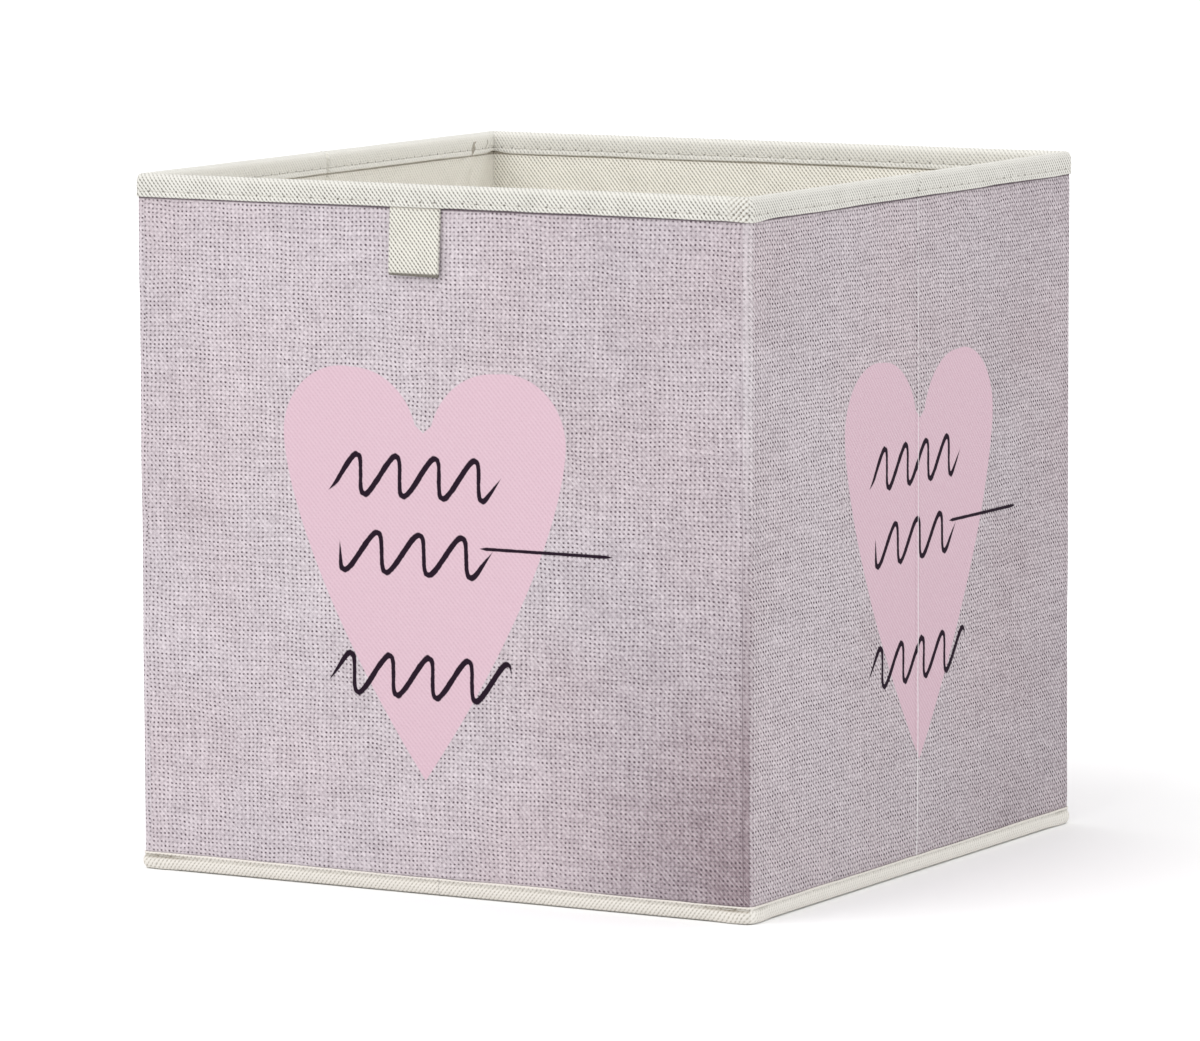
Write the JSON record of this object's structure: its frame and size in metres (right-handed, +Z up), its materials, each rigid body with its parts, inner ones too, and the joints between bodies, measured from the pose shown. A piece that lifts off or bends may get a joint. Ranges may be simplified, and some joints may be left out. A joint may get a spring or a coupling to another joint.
{
  "type": "folding fabric storage bin",
  "caption": "Open-top square cloth storage bin with stiffened folding walls, bound rim and foot, a pull tab and a loose stiff base insert.",
  "frame": {"origin": "centre of the base, on the floor", "axes": "+Z up, -Y towards the front with the pull tab, +X towards the right side as seen from the front"},
  "size_m": [0.3116, 0.3123, 0.312],
  "materials": {
    "printed_cloth": "matt non-woven cloth printed with an open burlap weave",
    "cream_cloth": "matt spunbond non-woven with a fine diagonal emboss",
    "binding_tape": "matt spunbond non-woven tape",
    "stiffener_board": "plain grey board"
  },
  "bodies": {
    "back_wall": {"back_outer_cloth": "printed_cloth", "back_board": "stiffener_board", "back_lining": "cream_cloth", "back_rim_binding": "binding_tape", "back_left_corner_fold": "printed_cloth", "back_right_corner_fold": "printed_cloth", "foot_binding_front": "binding_tape", "foot_binding_back": "binding_tape", "foot_binding_left": "binding_tape", "foot_binding_right": "binding_tape", "base_cloth": "cream_cloth"},
    "left_rear_wall": {"left_rear_outer_cloth": "printed_cloth", "left_rear_board": "stiffener_board", "left_rear_lining": "cream_cloth", "left_rear_rim_binding": "binding_tape", "left_crease_strip": "printed_cloth"},
    "left_front_wall": {"left_front_outer_cloth": "printed_cloth", "left_front_board": "stiffener_board", "left_front_lining": "cream_cloth", "left_front_rim_binding": "binding_tape"},
    "front_wall": {"front_outer_cloth": "printed_cloth", "front_board": "stiffener_board", "front_lining": "cream_cloth", "front_rim_binding": "binding_tape", "front_left_corner_fold": "printed_cloth", "front_right_corner_fold": "printed_cloth"},
    "right_rear_wall": {"right_rear_outer_cloth": "printed_cloth", "right_rear_board": "stiffener_board", "right_rear_lining": "cream_cloth", "right_rear_rim_binding": "binding_tape", "right_crease_strip": "printed_cloth"},
    "right_front_wall": {"right_front_outer_cloth": "printed_cloth", "right_front_board": "stiffener_board", "right_front_lining": "cream_cloth", "right_front_rim_binding": "binding_tape"},
    "base_insert": {"base_insert_backing": "cream_cloth", "base_insert_board": "stiffener_board", "base_insert_cover": "cream_cloth"},
    "pull_tab": {"pull_tab": "cream_cloth"}
  },
  "joints": [
    {"name": "side_fold", "type": "hinge", "parent": "back_wall", "child": "left_rear_wall", "pos_m": [-0.15025, 0.15025, 0], "axis": [0, 0, 1], "range_deg": [0, 88], "deforming": ["left_crease_strip", "right_crease_strip", "foot_binding_front", "foot_binding_left", "foot_binding_right", "base_cloth"]},
    {"name": "left_crease", "type": "hinge", "parent": "left_rear_wall", "child": "left_front_wall", "pos_m": [-0.15595, 0, 0], "axis": [0, 0, -1], "range_deg": [0, 177]},
    {"name": "front_left_corner", "type": "hinge", "parent": "left_front_wall", "child": "front_wall", "pos_m": [-0.15025, -0.15025, 0], "axis": [0, 0, 1], "range_deg": [0, 89]},
    {"name": "back_right_corner", "type": "hinge", "parent": "back_wall", "child": "right_rear_wall", "pos_m": [0.15025, 0.15025, 0], "axis": [0, 0, -1], "range_deg": [0, 89]},
    {"name": "right_crease", "type": "hinge", "parent": "right_rear_wall", "child": "right_front_wall", "pos_m": [0.15595, 0, 0], "axis": [0, 0, 1], "range_deg": [0, 177]},
    {"name": "base_insert_lift", "type": "slide", "parent": "back_wall", "child": "base_insert", "axis": [0, 0, 1], "range_m": [0, 0.33]},
    {"name": "pull_tab_swing", "type": "hinge", "parent": "front_wall", "child": "pull_tab", "pos_m": [-0.0098, -0.1565, 0.3017], "axis": [-1, 0, 0], "range_deg": [0, 165]}
  ],
  "couplings": [
    {"joint": "left_crease", "follows": "side_fold", "ratio": 2},
    {"joint": "front_left_corner", "follows": "side_fold", "ratio": 1},
    {"joint": "back_right_corner", "follows": "side_fold", "ratio": 1},
    {"joint": "right_crease", "follows": "side_fold", "ratio": 2}
  ]
}
